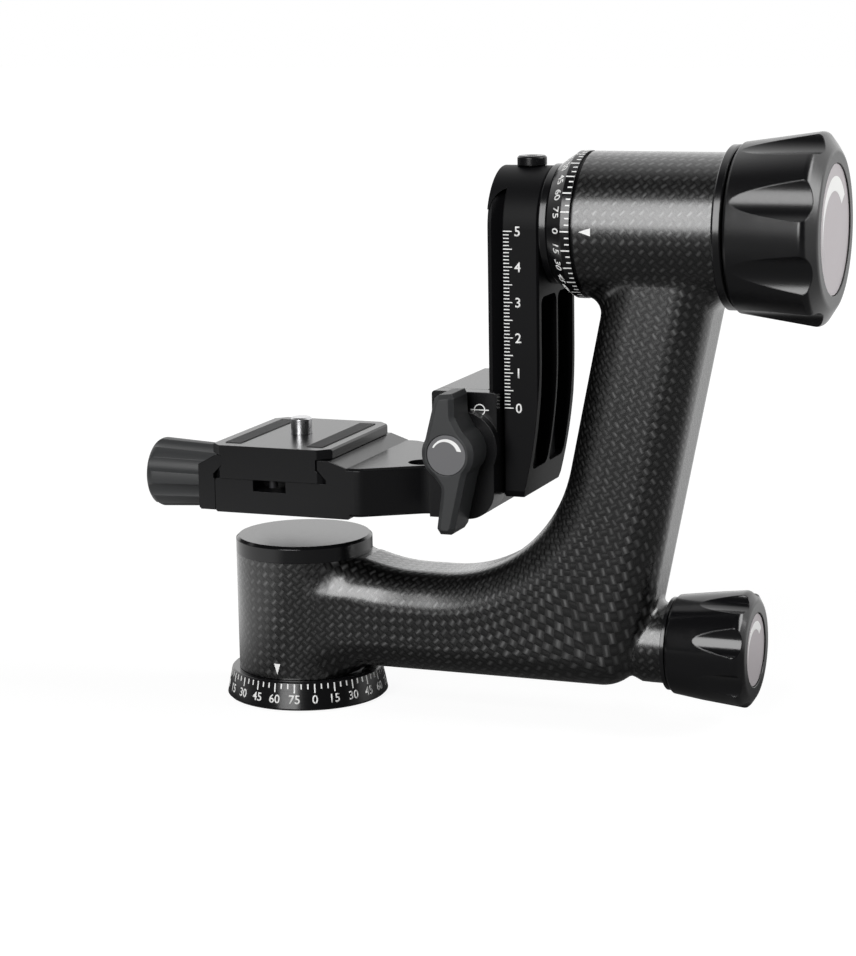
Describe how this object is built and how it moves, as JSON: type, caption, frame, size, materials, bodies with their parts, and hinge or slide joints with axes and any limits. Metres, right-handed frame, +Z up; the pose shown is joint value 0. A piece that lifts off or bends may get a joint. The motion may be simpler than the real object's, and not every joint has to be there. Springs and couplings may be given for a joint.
{
  "type": "gimbal tripod head",
  "caption": "Gimbal tripod head: a moulded carbon arm turns on a dial base and carries a swinging rail with a height-adjustable quick-release platform.",
  "frame": {"origin": "centre of the foot's lower face, on the pan axis", "axes": "+Z up along the pan axis, +X along the lower arm towards the lower knob, -Y the side with the height scale"},
  "size_m": [0.2088, 0.0628, 0.1704],
  "materials": {
    "carbon": "woven carbon fibre under a satin clear coat",
    "anodised_black": "satin black anodised aluminium",
    "bare_aluminium": "plain turned aluminium",
    "steel": "ground or turned steel",
    "black_steel": "black oxide steel",
    "gloss_black": "gloss black moulding",
    "matte_black": "matte black moulding",
    "label_silver": "silver grey printed disc",
    "brass": "turned brass",
    "friction_grey": "grey low-wear washer",
    "pad_black": "black rubber strip"
  },
  "bodies": {
    "base": {"base_plate": "anodised_black", "tripod_thread_bush": "steel", "base_screws": "black_steel", "pan_dial_ring": "anodised_black", "pan_spindle": "bare_aluminium", "pan_bearing_inners": "steel", "pan_brake_drum": "steel", "pan_ring_nut": "bare_aluminium"},
    "arm": {"carbon_arm": "carbon", "pan_hub_sleeve": "bare_aluminium", "pan_bearing_outers": "steel", "pan_cap": "anodised_black", "tilt_hub_sleeve": "bare_aluminium", "tilt_bearing_outers": "steel", "pan_knob_bush": "anodised_black"},
    "pan_brake": {"pan_brake_shoe": "brass"},
    "pan_knob": {"pan_knob": "gloss_black", "pan_knob_core": "bare_aluminium", "pan_brake_screw": "steel", "pan_knob_disc": "label_silver"},
    "swing_arm": {"tilt_spindle": "anodised_black", "tilt_bearing_inners": "steel", "tilt_bearing_spacer": "bare_aluminium", "tilt_dial": "anodised_black", "tilt_key": "steel", "tilt_end_washer": "steel", "tilt_end_screw": "black_steel", "swing_rail": "anodised_black", "rail_screws": "black_steel"},
    "tilt_collar": {"tilt_collar": "anodised_black", "tilt_friction_washer": "friction_grey"},
    "tilt_knob": {"tilt_knob": "gloss_black", "tilt_knob_core": "bare_aluminium", "tilt_knob_disc": "label_silver"},
    "rail_top_screw": {"rail_top_screw": "anodised_black"},
    "cradle": {"cradle": "anodised_black", "height_jaw_pins": "steel"},
    "height_jaw": {"height_jaw": "anodised_black"},
    "height_lever": {"height_lever": "matte_black", "height_lever_bolt": "steel", "height_lever_disc": "label_silver"},
    "clamp_jaw": {"clamp_jaw": "anodised_black", "clamp_jaw_pins": "steel", "clamp_washer": "steel"},
    "clamp_knob": {"clamp_knob": "matte_black", "clamp_knob_core": "bare_aluminium", "clamp_screw": "steel"},
    "plate": {"quick_release_plate": "anodised_black", "plate_pads": "pad_black", "plate_stop_screws": "black_steel"},
    "camera_screw": {"camera_screw": "steel"}
  },
  "joints": [
    {"name": "pan_turn", "type": "hinge", "parent": "base", "child": "arm", "pos_m": [0, 0, 0], "axis": [0, 0, 1], "continuous": true},
    {"name": "pan_brake_slide", "type": "slide", "parent": "arm", "child": "pan_brake", "axis": [1, 0, 0], "range_m": [0, 0.00125]},
    {"name": "pan_knob_turn", "type": "hinge", "parent": "pan_brake", "child": "pan_knob", "pos_m": [0, 0, 0.0238], "axis": [1, 0, 0], "range_deg": [0, 360]},
    {"name": "tilt_turn", "type": "hinge", "parent": "arm", "child": "swing_arm", "pos_m": [0, 0, 0.1438], "axis": [1, 0, 0], "continuous": true},
    {"name": "tilt_collar_slide", "type": "slide", "parent": "swing_arm", "child": "tilt_collar", "axis": [1, 0, 0], "range_m": [0, 0.00125]},
    {"name": "tilt_knob_turn", "type": "hinge", "parent": "tilt_collar", "child": "tilt_knob", "pos_m": [0, 0, 0.1438], "axis": [1, 0, 0], "range_deg": [0, 360]},
    {"name": "top_screw_turn", "type": "hinge", "parent": "swing_arm", "child": "rail_top_screw", "pos_m": [0.0735, 0, 0.16], "axis": [0, 0, 1], "range_deg": [0, 360]},
    {"name": "height_slide", "type": "slide", "parent": "swing_arm", "child": "cradle", "axis": [0, 0, 1], "range_m": [0, 0.05]},
    {"name": "height_jaw_slide", "type": "slide", "parent": "cradle", "child": "height_jaw", "axis": [0, -1, 0], "range_m": [0, 0.000395]},
    {"name": "height_lever_turn", "type": "hinge", "parent": "height_jaw", "child": "height_lever", "pos_m": [0.0598, -0.024, 0.0824], "axis": [0, -1, 0], "range_deg": [0, 95]},
    {"name": "clamp_jaw_slide", "type": "slide", "parent": "cradle", "child": "clamp_jaw", "axis": [-1, 0, 0], "range_m": [0, 0.004]},
    {"name": "clamp_knob_turn", "type": "hinge", "parent": "clamp_jaw", "child": "clamp_knob", "pos_m": [-0.0228, 0, 0.0655], "axis": [-1, 0, 0], "range_deg": [0, 1440]},
    {"name": "plate_slide", "type": "slide", "parent": "cradle", "child": "plate", "axis": [0, 1, 0], "range_m": [-0.0035, 0.0035]},
    {"name": "camera_screw_turn", "type": "hinge", "parent": "plate", "child": "camera_screw", "pos_m": [0, 0, 0.0795], "axis": [0, 0, 1], "continuous": true}
  ],
  "couplings": [
    {"joint": "pan_knob_turn", "follows": "pan_brake_slide", "rad_per_m": 5026.5},
    {"joint": "tilt_knob_turn", "follows": "tilt_collar_slide", "rad_per_m": 5026.5},
    {"joint": "height_lever_turn", "follows": "height_jaw_slide", "rad_per_m": 4188.7},
    {"joint": "clamp_knob_turn", "follows": "clamp_jaw_slide", "rad_per_m": 6283.1}
  ]
}
